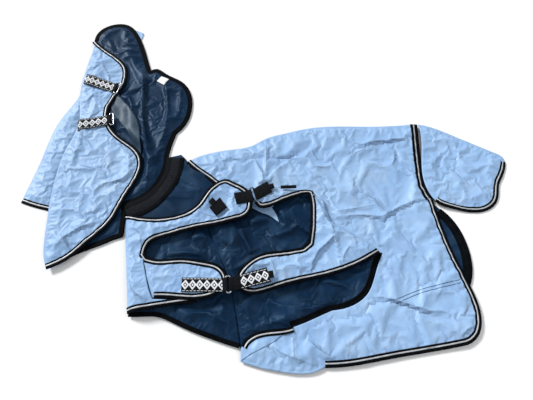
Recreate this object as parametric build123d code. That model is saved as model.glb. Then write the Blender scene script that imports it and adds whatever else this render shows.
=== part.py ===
"""A turnout rug for a small horse, with its detachable neck cover, lying folded on the floor.

Millimetres, +Z up from the floor. +Y runs from the chest flaps towards the spine, +X towards the tail.
Each cloth layer is a plate of its own, stacked in the order in which the layers lie. A binding is a tape
sewn inside a panel's edge, with a narrower reflective tape sewn along it.
"""

from build123d import *
import math
import os

# ---- driving dimensions ------------------------------------------------------------------------------
MIDDLE = (13.27, 4.98)  # the middle of the whole footprint, before it is moved to the origin
BINDING_WIDTH = 24.0
WIDE_BINDING = 30.0
TAPE = 1.2  # thickness of a binding tape
SILVER_WIDTH = 7.0
SILVER = 0.6  # thickness of the reflective tape
LOOP_PILE = 0.9  # thickness of the strip that the neck cover fastens on
WEBBING = 2.5  # thickness of the strap webbing
STITCH_GAP = 1.5  # air between two panels that meet edge to edge

# heights of the layers above the floor: (underside, top)
FAR_SHELL_Z = (0.0, 2.5)
FAR_LINING_Z = (2.5, 5.0)
BACK_SHELL_Z = (5.3, 7.3)
BACK_LINING_Z = (7.3, 9.6)
NEAR_LINING_Z = (11.0, 13.0)
NEAR_SHELL_Z = (13.0, 21.0)
FRONT_LINING_Z = (33.0, 35.0)
FRONT_SHELL_Z = (35.0, 43.0)
TAIL_LINING_Z = (0.0, 2.0)
TAIL_SHELL_Z = (2.0, 12.0)
CREST_LINING_Z = (0.0, 2.0)
CREST_SHELL_Z = (2.0, 10.0)
HOOD_NEAR_LINING_Z = (12.5, 14.5)
HOOD_NEAR_SHELL_Z = (14.5, 22.0)
FOLD_WALL = 3.0  # thickness of the cloth where a panel turns down over its fold

# strap hardware
BAR_RADIUS = 2.0
BAR_CLEARANCE = 0.09
RING_SPACING = 13.0  # from one long bar to the other
RING_LENGTH = 54.0  # from one short bar to the other
RING_CORNER = 3.0
LOOP_WIDTH = 46.0
LOOP_WALL = 1.5
STRAP_LIFT = TAPE + SILVER  # a strap lies on the bound edge that it crosses
BAR_LIFT = STRAP_LIFT + BAR_RADIUS + BAR_CLEARANCE + LOOP_WALL + 0.2

# belly straps, trapped between the two sides
SURCINGLE_WIDTH = 50.0
SURCINGLE_Z = (5.3, 7.8)
HOOK_Z = (7.8, 10.3)


# ---- plane shapes ------------------------------------------------------------------------------------
def edge(run):
    """A straight edge through two points, or a smooth curve through more."""
    points = [Vector(*p) for p in run]
    return Line(*points) if len(points) == 2 else Spline(*points)


def plate(runs, heights):
    """A closed solid between two heights. Its outline is a chain of runs, joined by straight edges."""
    low, high = heights
    edges = []
    for run, after in zip(runs, runs[1:] + runs[:1]):
        edges.append(edge(run))
        if math.dist(run[-1], after[0]) > 0.01:
            edges.append(edge([run[-1], after[0]]))
    return Pos(0, 0, low) * extrude(make_face(edges), high - low, dir=(0, 0, 1))


def beside(run, distance):
    """Points at a distance to the left of a run, as seen going along it."""
    path = edge(run)
    count = 1 if len(run) == 2 else 2 * len(run)
    found = []
    for i in range(count + 1):
        along = path % (i / count)
        at = path @ (i / count)
        found.append((at.X - along.Y * distance, at.Y + along.X * distance))
    return found


def tape(run, heights, width, start=0.0):
    """A flat tape along a run, to its left, from a starting distance to that plus its width."""
    inner = beside(run, start) if start else run
    outer = beside(run, start + width)
    return plate([inner, outer[::-1]], heights)


def bound(runs, top, width=BINDING_WIDTH):
    """The binding inside the edges of a panel whose outline turns counter-clockwise."""
    return Part() + [tape(run, (top, top + TAPE), width) for run in runs]


def reflective(runs, top):
    """The reflective tape along the middle of a binding."""
    low = top + TAPE
    start = (BINDING_WIDTH - SILVER_WIDTH) / 2
    return Part() + [tape(run, (low, low + SILVER), SILVER_WIDTH, start) for run in runs]


def quad(corners, heights):
    """A flat piece with straight edges between its corners."""
    return plate([[a, b] for a, b in zip(corners, corners[1:] + corners[:1])], heights)


# ---- outlines of the rug, each turning counter-clockwise ---------------------------------------------
SPINE = [(572, 186), (390, 178), (140, 163), (60, 140), (5, 122), (-45, 90), (-120, 72), (-220, 52),
         (-295, 15)]
TAIL_SEAM = [(584, -82), (590, 50), (598, 186)]
REAR = [(635, -638), (682, -595), (693, -545), (685, -485), (640, -330), (622, -245), (606, -138)]
HEM = [(185, -705), (265, -700), (400, -677), (490, -663), (635, -638)]
BELLY_FOLD = [(-75, -690), (-5, -710), (70, -722), (120, -725), (185, -705)]
FRONT_LOWER = [(220, -535), (150, -565), (90, -588), (35, -600), (-20, -608), (-55, -624), (-75, -650)]
FRONT_LOWER_UP = [(402, -344), (374, -404), (333, -487), (283, -521), (220, -535)]
RIGHT_FOLD = [(390, -342), (372, -324), (318, -285), (263, -250), (236, -232), (216, -182), (186, -124),
              (160, -107)]
NEAR_NECK = [(-295, 15), (-255, -22), (-210, -55), (-180, -80), (-120, -122), (-55, -172), (-15, -205),
             (45, -242)]
NEAR_SIDE = [
    SPINE,
    NEAR_NECK,
    [(140, -225), (150, -102)],
    beside(RIGHT_FOLD, -STITCH_GAP)[::-1],
    FRONT_LOWER_UP,
    FRONT_LOWER,
    [(-75, -650), (-75, -690)],
    BELLY_FOLD,
    HEM,
    REAR,
    TAIL_SEAM,
]

NECK_UPPER = [(-350, 150), (-364, 95), (-372, 40)]
NECK_SEAM = [(-372, 40), (-376, -22), (-392, -66), (-420, -108), (-458, -138), (-510, -160)]
FAR_REAR = [(668, -470), (692, -425), (701, -380), (697, -305), (675, -235), (632, -178)]
FAR_SPINE = [(555, 168), (390, 160), (140, 146), (60, 122), (0, 102), (-50, 72), (-120, 54), (-220, 34),
             (-290, 0)]
FAR_SIDE = [
    [(-290, 0), (-345, 45)],
    beside(NECK_SEAM, STITCH_GAP),
    [(-496, -182), (-480, -290), (-458, -400), (-425, -535)],
    [(-425, -535), (-340, -540), (-270, -568), (-165, -606), (-90, -628)],
    [(-62, -672), (70, -700), (265, -682), (400, -658), (620, -620)],
    [(620, -620), (662, -580), (668, -470)],
    FAR_REAR,
    [(560, -110), (555, 168)],
    FAR_SPINE,
]

# the front, opened out over the far side: a back layer, and a front layer that carries the two closures
BACK_HEM = [(-440, -552), (-400, -552), (-350, -552), (-275, -580), (-165, -622), (-80, -648)]
BACK_RIGHT_HEM = [(-74, -646), (-54, -622), (-19, -606), (35, -598), (90, -586), (150, -563), (218, -534)]
BACK_RIGHT_REAR = [(218, -534), (281, -519), (331, -485), (372, -402), (398, -345)]
BACK_LEFT = [
    [(-483, -222), (-478, -290), (-464, -370), (-440, -552)],
    BACK_HEM,
    [(-80, -648), (-101, -520), (-136, -400), (-181, -300), (-216, -205)],
    [(-216, -205), (-255, -200), (-300, -228), (-355, -238), (-415, -238), (-483, -222)],
]
BACK_RIGHT = [
    BACK_RIGHT_HEM,
    BACK_RIGHT_REAR,
    [(398, -345), (372, -326), (317, -287), (262, -252), (234, -234), (214, -184), (184, -126),
     (158, -112)],
    [(158, -112), (0, -118), (-120, -112), (-213, -205)],
    [(-213, -205), (-178, -300), (-133, -400), (-98, -520), (-74, -646)],
]

LEFT_FOLD = [(-490, -203), (-484, -285), (-470, -370), (-441, -546)]
LEFT_HEM = [(-441, -546), (-400, -537), (-340, -527), (-280, -518), (-216, -510)]
LEFT_TOP = [(-120, -80), (-145, -70), (-175, -83), (-210, -120), (-240, -172), (-300, -208), (-355, -219)]
LEFT_CORNER = [(-355, -219), (-415, -220), (-490, -203)]
ARM_TIP = [(-50, -192), (-47, -168), (-60, -122), (-88, -98), (-120, -80)]
ARM_LOW = [(-404, -350), (-385, -308), (-335, -286), (-220, -256), (-160, -246), (-110, -231), (-70, -216),
           (-50, -192)]
FLAP_SEAM = [(-361, -502), (-377, -470), (-396, -410), (-406, -382)]
LEFT_SHOULDER = [
    LEFT_FOLD,
    LEFT_HEM,
    [(-216, -507), (-361, -504)],
    FLAP_SEAM,
    ARM_LOW,
    ARM_TIP,
    LEFT_TOP,
    LEFT_CORNER,
]

FLAP_TOP = [(-135, -412), (-155, -394), (-205, -380), (-285, -370), (-375, -372), (-400, -362)]
FLAP_BOTTOM = [(-357, -499), (-275, -502), (-195, -501), (-155, -487), (-135, -472)]
LEFT_FLAP = [
    FLAP_TOP,
    beside(FLAP_SEAM, -STITCH_GAP)[::-1],
    FLAP_BOTTOM,
    [(-135, -472), (-124, -442), (-135, -412)],
]

FLAP_TIP = [(-84, -412), (-92, -440), (-90, -465), (-72, -481)]
RIGHT_CHEST = [(110, -341), (10, -348), (-30, -362), (-66, -390), (-84, -412)]
RIGHT_NECK = [(160, -122), (176, -190), (170, -285), (152, -325), (110, -341)]
RIGHT_ARM_LOW = [(-34, -166), (-20, -182), (10, -180), (65, -155), (120, -133), (160, -122)]
RIGHT_ARM_TOP = [(160, -107), (110, -104), (45, -104), (-10, -110), (-34, -128)]
RIGHT_HEM = [(-72, -481), (-40, -486), (10, -475), (85, -452), (155, -436), (240, -415), (295, -395),
             (390, -342)]
RIGHT_SHOULDER = [RIGHT_FOLD, RIGHT_ARM_TOP, RIGHT_ARM_LOW, RIGHT_NECK, RIGHT_CHEST, FLAP_TIP, RIGHT_HEM]

CORNER_EDGE = [(88, -586), (35, -596), (-20, -604), (-52, -620), (-72, -648)]
CORNER_FLAP = [CORNER_EDGE, [(-73, -687), (-10, -652), (30, -630), (62, -606), (88, -586)]]

TAIL_TOP = [(892, 56), (845, 80), (785, 112), (710, 150), (635, 178), (603, 185)]
TAIL_CORNER = [(910, 16), (908, 42), (892, 56)]
TAIL_END = [(775, -184), (806, -174), (832, -155), (850, -125), (862, -80), (885, -40), (910, 16)]
TAIL_BOTTOM = [(614, -143), (635, -160), (670, -171), (730, -184), (775, -184)]
TAIL_ROOT = [(603, 185), (596, 50), (590, -86), (614, -143)]
TAIL_FLAP = [TAIL_TOP, TAIL_ROOT, TAIL_BOTTOM, TAIL_END, TAIL_CORNER]

# ---- outlines of the neck cover ----------------------------------------------------------------------
POLL = [(-486, 462), (-520, 560), (-570, 675), (-600, 715), (-630, 732), (-678, 732), (-712, 718),
        (-752, 640)]
THROAT = [(-350, 150), (-312, 205), (-300, 262), (-312, 350), (-345, 400), (-425, 450), (-462, 474),
          (-486, 462)]
FAR_BOTTOM = [(-695, -372), (-600, -322), (-535, -292), (-514, -278)]
HOOD_FAR = [
    POLL,
    [(-752, 640), (-725, 400), (-722, 180), (-745, 60), (-752, -170), (-695, -372)],
    FAR_BOTTOM,
    [(-514, -278), (-513, -168)],
    NECK_SEAM[::-1],
    NECK_UPPER[::-1],
    THROAT,
]
CREST_FOLD = [(-760, 402), (-766, 330), (-820, 208), (-852, 35), (-870, -65), (-885, -147)]
CREST_HEM = [(-885, -147), (-830, -166), (-757, -182)]
CREST = [CREST_FOLD, CREST_HEM, [(-757, -182), (-750, 60), (-727, 180), (-730, 330), (-760, 402)]]
POLL_TIP = [(-592, 702), (-545, 722), (-527, 668), (-560, 650)]

NEAR_LEFT = [(-744, 628), (-750, 520), (-760, 400), (-750, 280), (-736, 180), (-764, 62), (-776, -40),
             (-775, -172)]
NEAR_LEFT_LOW = [(-775, -172), (-764, -292), (-756, -340), (-735, -398)]
FACE_LOWER = [(-735, -398), (-655, -350), (-605, -297), (-550, -235), (-504, -125), (-470, -45), (-464, 0),
              (-472, 38)]
FACE_MIDDLE = [(-472, 38), (-500, 76), (-570, 130), (-610, 178), (-627, 220), (-630, 262)]
FACE_UPPER = [(-630, 262), (-606, 325), (-586, 370), (-580, 430), (-592, 480), (-625, 520), (-690, 574),
              (-744, 628)]
HOOD_NEAR = [NEAR_LEFT, NEAR_LEFT_LOW, FACE_LOWER, FACE_MIDDLE, FACE_UPPER]


# ---- strap hardware ----------------------------------------------------------------------------------
class Closure:
    """A wire ring lying flat, with one long bar in a sewn loop and the other in a fastening strap's loop."""

    def __init__(self, centre, panel_top, angle):
        self.centre = centre
        self.low = panel_top + STRAP_LIFT
        self.height = panel_top + BAR_LIFT
        self.angle = angle

    def bar(self, side):
        """The middle of a long bar: side -1 is the sewn loop's, +1 the strap's."""
        turn = math.radians(self.angle)
        reach = side * RING_SPACING / 2
        return self.centre[0] + reach * math.cos(turn), self.centre[1] + reach * math.sin(turn)

    def ring(self):
        path = RectangleRounded(RING_SPACING, RING_LENGTH, RING_CORNER).face().outer_wire()
        section = Plane(origin=path @ 0, z_dir=path % 0) * Circle(BAR_RADIUS)
        place = Pos(self.centre[0], self.centre[1], self.height) * Rot(0, 0, self.angle)
        return place * sweep(section, path=path)

    def loop(self, side, strap):
        """A strap's plate with its turn round a bar, and the hole that the bar runs in."""
        x, y = self.bar(side)
        place = Pos(x, y, self.height) * Rot(0, 0, self.angle) * Rot(90, 0, 0)
        bore = BAR_RADIUS + BAR_CLEARANCE
        turn = place * (Cylinder(bore + LOOP_WALL, LOOP_WIDTH) - Cylinder(bore, LOOP_WIDTH + 2))
        return strap + turn

    def corner(self, side, away, across):
        """A point on the strap, from the middle of a bar: away from the ring and across the strap."""
        turn = math.radians(self.angle)
        x, y = self.bar(side)
        along = side * away
        return (
            x + along * math.cos(turn) - across * math.sin(turn),
            y + along * math.sin(turn) + across * math.cos(turn),
        )


HALF = LOOP_WIDTH / 2 - 1
LOWER = Closure((-118, -459), FRONT_SHELL_Z[1], 6.0)
UPPER = Closure((-41, -138), FRONT_SHELL_Z[1], 17.0)
HOOD_UPPER = Closure((-604, 356), HOOD_NEAR_SHELL_Z[1], -12.0)
HOOD_LOWER = Closure((-604, 202), HOOD_NEAR_SHELL_Z[1], 10.0)


def sewn_strap(closure, far_corners):
    """A label strap sewn on a panel, from its two far corners to its loop round the ring's bar."""
    heights = (closure.low, closure.low + WEBBING)
    near = [closure.corner(-1, 2.9, -HALF), closure.corner(-1, 2.9, HALF)]
    return closure.loop(-1, quad(far_corners + near, heights))


def strap_base(closure, far_corners):
    """The part of a fastening strap that is sewn down, which stops short of the ring."""
    heights = (closure.low, closure.low + WEBBING)
    near = [closure.corner(1, 6, HALF), closure.corner(1, 6, -HALF)]
    return quad(far_corners + near, heights)


def folded_strap(closure, far_corners):
    """The free end of a fastening strap, folded back over its own base from the ring's bar."""
    low = closure.low + WEBBING + 0.3
    near = [closure.corner(1, 2.4, HALF), closure.corner(1, 2.4, -HALF)]
    return closure.loop(1, quad(far_corners + near, (low, low + WEBBING)))


# ---- the rug's body ----------------------------------------------------------------------------------
def far_side():
    top = FAR_LINING_Z[1]
    strip = (STITCH_GAP + 1, 30.0)
    neck_tape = tape(NECK_SEAM, (top, top + TAPE), BINDING_WIDTH, strip[0] + strip[1] + 1)
    return {
        "far_side_shell": plate(FAR_SIDE, FAR_SHELL_Z),
        "far_side_lining": plate(FAR_SIDE, FAR_LINING_Z),
        "far_side_binding": neck_tape + bound([FAR_REAR], top, WIDE_BINDING),
        "withers_loop_strip": tape(NECK_SEAM[1:-1], (top, top + LOOP_PILE), strip[1], strip[0]),
    }


def near_side():
    top = NEAR_SHELL_Z[1]
    edges = [REAR, HEM, NEAR_NECK[:5]]
    notch = [REAR[-1], TAIL_SEAM[0]]
    seam_tape = bound([notch, TAIL_SEAM], top)
    return {
        "near_side_shell": plate(NEAR_SIDE, NEAR_SHELL_Z),
        "near_side_lining": plate(NEAR_SIDE, NEAR_LINING_Z),
        "near_side_binding": bound(edges, top),
        "near_side_reflective_tape": reflective(edges, top),
        "tail_seam_tape": seam_tape - bound(edges, top),
    }


def front_back():
    top = BACK_LINING_Z[1]
    binding = bound([BACK_HEM, BACK_RIGHT_HEM, BACK_RIGHT_REAR], top)
    return {
        "front_back_shell": plate(BACK_LEFT, BACK_SHELL_Z) + plate(BACK_RIGHT, BACK_SHELL_Z),
        "front_lining_left": plate(BACK_LEFT, BACK_LINING_Z),
        "front_lining_right": plate(BACK_RIGHT, BACK_LINING_Z),
        "front_back_binding": binding - fold_wall(LEFT_FOLD) - fold_wall(RIGHT_FOLD),
    }


def fold_wall(fold):
    """The cloth of a shoulder where it turns down over its fold on to the back layer."""
    return tape(fold, (BACK_LINING_Z[1], FRONT_SHELL_Z[1]), FOLD_WALL)


def front_layer():
    """The two shoulders and the left chest flap, which stand over the back layer round the neck opening."""
    top = FRONT_SHELL_Z[1]
    left_edges = [LEFT_HEM, ARM_LOW, ARM_TIP, LEFT_TOP, LEFT_CORNER]
    flap_edges = [FLAP_TOP, FLAP_BOTTOM]
    right_edges = [RIGHT_ARM_LOW, RIGHT_NECK, RIGHT_CHEST, RIGHT_HEM]
    clear_of_tail = quad([(388, -352), (420, -352), (420, -320), (388, -320)], (top, top + 5))
    return {
        "left_shoulder_shell": plate(LEFT_SHOULDER, FRONT_SHELL_Z) + fold_wall(LEFT_FOLD),
        "left_shoulder_lining": plate(LEFT_SHOULDER, FRONT_LINING_Z) - fold_wall(LEFT_FOLD),
        "left_shoulder_binding": bound(left_edges, top) - plate(LEFT_FLAP, (top, top + TAPE)),
        "left_chest_flap_shell": plate(LEFT_FLAP, FRONT_SHELL_Z),
        "left_chest_flap_lining": plate(LEFT_FLAP, FRONT_LINING_Z),
        "left_chest_flap_binding": bound(flap_edges, top),
        "right_shoulder_shell": plate(RIGHT_SHOULDER, FRONT_SHELL_Z) + fold_wall(RIGHT_FOLD),
        "right_shoulder_lining": plate(RIGHT_SHOULDER, FRONT_LINING_Z) - fold_wall(RIGHT_FOLD),
        "right_shoulder_binding": bound(right_edges, top) - clear_of_tail,
        "front_reflective_tape": reflective(left_edges + flap_edges + right_edges, top) - clear_of_tail,
    }


def folded_corner():
    """The lower front corner of the near side, turned back over the side's own lining."""
    top = NEAR_SHELL_Z[1]
    return {
        "corner_flap_shell": plate(CORNER_FLAP, (top, top + 3)),
        "corner_flap_binding": bound([CORNER_EDGE], top + 3, 12.0),
    }


def front_straps():
    """The sewn parts of the two front closures, and the small pieces sewn near them."""
    top = FRONT_SHELL_Z[1]
    return {
        "lower_label_strap": sewn_strap(LOWER, [(-270, -435), (-270, -482)]),
        "lower_strap_base": strap_base(LOWER, [(0, -454), (-12, -408)]),
        "upper_label_strap": sewn_strap(UPPER, [(-112, -130), (-100, -176)]),
        "upper_strap_base": strap_base(UPPER, [(20, -128), (4, -86)]),
        "spare_tab_base": quad(SPARE_TAB, (top, top + WEBBING)),
        "front_loop_tab": quad([(110, -105), (58, -105), (58, -113), (110, -111)], (top, top + 2)),
    }


def belly_straps():
    """Two cross surcingles, lying between the two sides, each with a hook, a slot plate and a slide."""
    thick = HOOK_Z[1] - HOOK_Z[0]
    strap = Box(260, SURCINGLE_WIDTH, SURCINGLE_Z[1] - SURCINGLE_Z[0])
    slide = Box(26, SURCINGLE_WIDTH + 12, thick) - Box(16, SURCINGLE_WIDTH + 2, thick + 2)
    slot_plate = Box(32, SURCINGLE_WIDTH, thick) - Box(9, 30, thick + 2)
    hook = Box(8, SURCINGLE_WIDTH + 8, thick)
    for side in (-1, 1):
        hook += Pos(22, 8 * side, 0) * Box(44, 7, thick)
    straps, hooks, slides, plates = Part(), Part(), Part(), Part()
    for x, y, angle in ((455, -380, 78), (540, -400, 84)):
        turned = Pos(x, y, 0) * Rot(0, 0, angle)
        on_strap = turned * Pos(0, 0, sum(HOOK_Z) / 2)
        straps += turned * Pos(0, 0, sum(SURCINGLE_Z) / 2) * strap
        slides += on_strap * Pos(-60, 0, 0) * slide
        hooks += on_strap * Pos(96, 0, 0) * hook
        plates += on_strap * Pos(-112, 0, 0) * slot_plate
    return {
        "surcingle_webbing": straps,
        "surcingle_hooks": hooks,
        "surcingle_slides": slides,
        "surcingle_slot_plates": plates,
    }


# ---- the moving parts of the front -------------------------------------------------------------------
SPARE_TAB = [(-195, -187), (-170, -219), (-133, -186), (-160, -148)]


def front_closures():
    low = FRONT_SHELL_Z[1] + WEBBING + 0.2
    tab = quad(SPARE_TAB, (low, low + WEBBING))
    pull = quad([(-182, -184), (-170, -165), (-186, -148), (-200, -166)], (low, low + WEBBING))
    return {
        "lower_ring": LOWER.ring(),
        "lower_velcro_strap": folded_strap(LOWER, [(20, -452), (5, -402)]),
        "upper_ring": UPPER.ring(),
        "upper_velcro_strap": folded_strap(UPPER, [(26, -128), (8, -84)]),
        "spare_tab": tab + pull,
    }


# ---- the tail flap -----------------------------------------------------------------------------------
def tail_flap():
    top = TAIL_SHELL_Z[1]
    edges = [TAIL_BOTTOM, TAIL_END]
    return {
        "tail_flap_shell": plate(TAIL_FLAP, TAIL_SHELL_Z),
        "tail_flap_lining": plate(TAIL_FLAP, TAIL_LINING_Z),
        "tail_flap_binding": bound(edges, top),
        "tail_flap_reflective_tape": reflective(edges, top),
    }


# ---- the neck cover ----------------------------------------------------------------------------------
def hood_far():
    top = FAR_LINING_Z[1]
    joined = top + TAPE
    crest_top = CREST_SHELL_Z[1]
    return {
        "hood_far_shell": plate(HOOD_FAR, FAR_SHELL_Z) + quad(POLL_TIP, FAR_SHELL_Z),
        "hood_far_lining": plate(HOOD_FAR, FAR_LINING_Z),
        "hood_far_binding": bound([FAR_BOTTOM, NECK_SEAM[::-1], NECK_UPPER[::-1], THROAT, POLL], top),
        "hood_hook_strip": tape(NECK_SEAM, (joined, joined + TAPE), 44.0, -BINDING_WIDTH),
        "care_label": quad([(-435, 425), (-460, 395), (-430, 370), (-405, 405)], (top, top + 0.8)),
        "crest_shell": plate(CREST, CREST_SHELL_Z),
        "crest_lining": plate(CREST, CREST_LINING_Z),
        "crest_binding": bound([CREST_HEM], crest_top, 16.0),
    }


def hood_near():
    top = HOOD_NEAR_SHELL_Z[1]
    edges = [FACE_LOWER, FACE_MIDDLE, FACE_UPPER]
    upper = sewn_strap(HOOD_UPPER, [(-745, 436), (-752, 384)])
    lower = sewn_strap(HOOD_LOWER, [(-740, 200), (-731, 150)])
    return {
        "hood_near_shell": plate(HOOD_NEAR, HOOD_NEAR_SHELL_Z),
        "hood_near_lining": plate(HOOD_NEAR, HOOD_NEAR_LINING_Z),
        "hood_near_binding": bound(edges, top),
        "hood_near_reflective_tape": reflective(edges, top),
        "hood_label_straps": upper + lower,
        "hood_upper_ring": HOOD_UPPER.ring(),
        "hood_lower_ring": HOOD_LOWER.ring(),
    }


# ---- the whole rug -----------------------------------------------------------------------------------
def rug():
    pieces = {}
    for group in (far_side, near_side, front_back, front_layer, folded_corner, front_straps, belly_straps):
        pieces.update(group())
    for group in (front_closures, tail_flap, hood_far, hood_near):
        pieces.update(group())
    return pieces


os.makedirs("parts", exist_ok=True)
to_origin = Pos(-MIDDLE[0], -MIDDLE[1], 0)
for node, shape in rug().items():
    export_step(to_origin * shape, f"parts/{node}.step")
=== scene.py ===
"""Looks of a horse turnout rug and its neck cover, lying folded on the floor.

Lengths in the making functions are millimetres in the row frame. Each cloth panel takes its outline from
its CAD plate, gets a crumpled height over that outline, and carries tapes and straps that follow it.
"""

import math

import bpy
import numpy as np
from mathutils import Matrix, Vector
from mathutils.bvhtree import BVHTree
from mathutils.geometry import delaunay_2d_cdt


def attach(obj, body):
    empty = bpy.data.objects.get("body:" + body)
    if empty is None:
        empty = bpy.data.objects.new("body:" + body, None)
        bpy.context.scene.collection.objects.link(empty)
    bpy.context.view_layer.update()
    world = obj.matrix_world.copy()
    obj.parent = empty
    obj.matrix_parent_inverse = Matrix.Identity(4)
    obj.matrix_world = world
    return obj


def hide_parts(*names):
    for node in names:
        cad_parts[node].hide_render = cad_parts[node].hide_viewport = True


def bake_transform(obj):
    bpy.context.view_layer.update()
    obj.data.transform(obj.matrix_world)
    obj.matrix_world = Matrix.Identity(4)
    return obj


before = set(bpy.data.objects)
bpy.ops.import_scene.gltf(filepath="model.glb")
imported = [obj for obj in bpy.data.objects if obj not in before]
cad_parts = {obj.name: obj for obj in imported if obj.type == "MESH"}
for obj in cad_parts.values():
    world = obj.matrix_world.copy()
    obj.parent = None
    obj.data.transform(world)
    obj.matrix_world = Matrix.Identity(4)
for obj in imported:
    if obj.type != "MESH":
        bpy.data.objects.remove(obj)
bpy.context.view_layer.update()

MM = 0.001
MIDDLE = np.array((13.27, 4.98))
TAPE_WIDTH = 18.0
SILVER_WIDTH = 4.4
TAPE_STEP = 5.0  # how far apart the rings of points of a tape are
CLOTH_THICK = 1.1
LAYER_GAP = 0.5
BEND_GAP = 2.4  # more room between the layers of a panel that bends, away from its tapes


# ---- outlines ----
def at(*points):
    """Points of the layout, moved to the row frame."""
    return np.array(points, float) - MIDDLE


def top_loops(node):
    """Outlines of the top face of a CAD plate, turning counter-clockwise."""
    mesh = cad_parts[node].data
    co = np.array([v.co for v in mesh.vertices]) / MM
    top = co[:, 2].max() - 0.02
    follow = {}
    edges = set()
    for poly in mesh.polygons:
        if co[list(poly.vertices), 2].min() < top:
            continue
        ring = [tuple(np.round(co[i, :2], 2)) for i in poly.vertices]
        for a, b in zip(ring, ring[1:] + ring[:1]):
            if (b, a) in edges:
                edges.remove((b, a))
            elif a != b:
                edges.add((a, b))
    for a, b in edges:
        follow[a] = b
    loops = []
    while follow:
        start = min(follow)
        loop = [start]
        here = follow.pop(start)
        while here != start:
            loop.append(here)
            here = follow.pop(here)
        loops.append(np.array(loop))
    return sorted(loops, key=len, reverse=True)


def resample(loop, step, sharp=28.0):
    """Even points along a closed outline. Its corners stay."""
    before = loop - np.roll(loop, 1, 0)
    after = np.roll(loop, -1, 0) - loop
    turn = np.arctan2(before[:, 0] * after[:, 1] - before[:, 1] * after[:, 0], (before * after).sum(1))
    corners = [i for i in range(len(loop)) if abs(math.degrees(turn[i])) > sharp] or [0]
    found = []
    for i, j in zip(corners, corners[1:] + [corners[0] + len(loop)]):
        part = loop[np.arange(i, j + 1) % len(loop)]
        found.append(even(part, step)[:-1])
    return np.concatenate(found)


def lengths(line):
    """How far along a line each of its points is."""
    return np.concatenate([[0], np.cumsum(np.linalg.norm(np.diff(line, axis=0), axis=1))])


def even(points, step):
    """Even points along an open line."""
    points = np.asarray(points, float)
    length = lengths(points)
    count = max(1, round(length[-1] / step))
    where = np.linspace(0, length[-1], count + 1)
    return np.stack([np.interp(where, length, points[:, k]) for k in range(points.shape[1])], 1)


def smooth_line(points, step=8.0):
    """A smooth line through a few points (Catmull-Rom), evenly spaced."""
    p = np.asarray(points, float)
    if len(p) < 3:
        return even(p, step)
    ends = np.concatenate([[2 * p[0] - p[1]], p, [2 * p[-1] - p[-2]]])
    out = []
    for a, b, c, d in zip(ends, ends[1:], ends[2:], ends[3:]):
        t = np.linspace(0, 1, 12, endpoint=False)[:, None]
        square, cube = 2 * a - 5 * b + 4 * c - d, 3 * b - a - 3 * c + d
        out.append(0.5 * (2 * b + (c - a) * t + square * t**2 + cube * t**3))
    return even(np.concatenate(out + [p[-1:]]), step)


def line_distance(points, line, closed=False):
    """Distance of each point from a line of points, and how far along it is, from 0 to 1."""
    a = line if closed else line[:-1]
    b = np.roll(line, -1, 0) if closed else line[1:]
    ab = b - a
    best = np.full(len(points), 1e9)
    along = np.zeros(len(points))
    square = (ab * ab).sum(1)
    for lo in range(0, len(points), 2000):
        ap = points[lo : lo + 2000, None] - a[None]
        t = np.clip((ap * ab).sum(-1) / square, 0, 1)
        far = np.linalg.norm(ap - t[..., None] * ab, axis=-1)
        k = far.argmin(1)
        rows = np.arange(len(k))
        best[lo : lo + 2000] = far[rows, k]
        along[lo : lo + 2000] = (k + t[rows, k]) / len(a)
    return best, along


def from_line(points, way):
    """Distance of each point from a smooth line through a few points of the layout."""
    return line_distance(points, smooth_line(at(*way)))[0]


def inside(points, loop):
    x, y = points[:, 0], points[:, 1]
    odd = np.zeros(len(points), bool)
    for (x0, y0), (x1, y1) in zip(loop, np.roll(loop, -1, 0)):
        if y0 != y1:
            hit = ((y0 > y) != (y1 > y)) & (x < (x1 - x0) * (y - y0) / (y1 - y0) + x0)
            odd ^= hit
    return odd


def area_of(loop):
    x, y = loop[:, 0], loop[:, 1]
    return abs((x * np.roll(y, -1) - np.roll(x, -1) * y).sum()) / 2


# ---- crumpled heights ----
def step_up(x):
    """0 below 0, 1 above 1, smooth between."""
    t = np.clip(x, 0, 1)
    return t * t * (3 - 2 * t)


def swell(p, size, seed):
    """Soft waves about as long as size, from -1 to 1."""
    rng = np.random.default_rng(seed)
    total = np.zeros(len(p))
    for _ in range(7):
        angle, phase = rng.uniform(0, math.tau, 2)
        wave = math.tau / (size * rng.uniform(0.7, 1.6))
        total += np.sin((p[:, 0] * math.cos(angle) + p[:, 1] * math.sin(angle)) * wave + phase)
    return np.clip(total / 4.2, -1, 1)


def facets(p, cell, seed):
    """Flat tilted facets with sharp edges, as stiff crumpled cloth has, from -1 to 1."""
    rng = np.random.default_rng(seed)
    table = rng.uniform(-1, 1, (64, 64))
    shift = rng.uniform(0, 1000, 2)
    angle = rng.uniform(0, math.tau)
    bent = p + 0.42 * cell * np.stack([swell(p, cell * 2.3, seed + 1), swell(p, cell * 2.3, seed + 2)], 1)
    turn = np.array([[math.cos(angle), -math.sin(angle)], [math.sin(angle), math.cos(angle)]])
    q = (bent @ turn + shift) / cell
    q[:, 0] *= 0.75
    g = q + (q.sum(1) * 0.366)[:, None]
    base = np.floor(g).astype(int)
    f = g - base
    step = np.where((f[:, 0] > f[:, 1])[:, None], [1, 0], [0, 1])

    def corner(k):
        return table[(base[:, 0] + k[..., 0]) % 64, (base[:, 1] + k[..., 1]) % 64]

    lo, hi = f.min(1), f.max(1)
    return corner(np.array([0, 0])) * (1 - hi) + corner(step) * (hi - lo) + corner(np.array([1, 1])) * lo


def ridges(p, cell, seed):
    """Narrow ridges between wide hollows."""
    return 1 - 2.4 * np.abs(facets(p, cell, seed))


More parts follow.
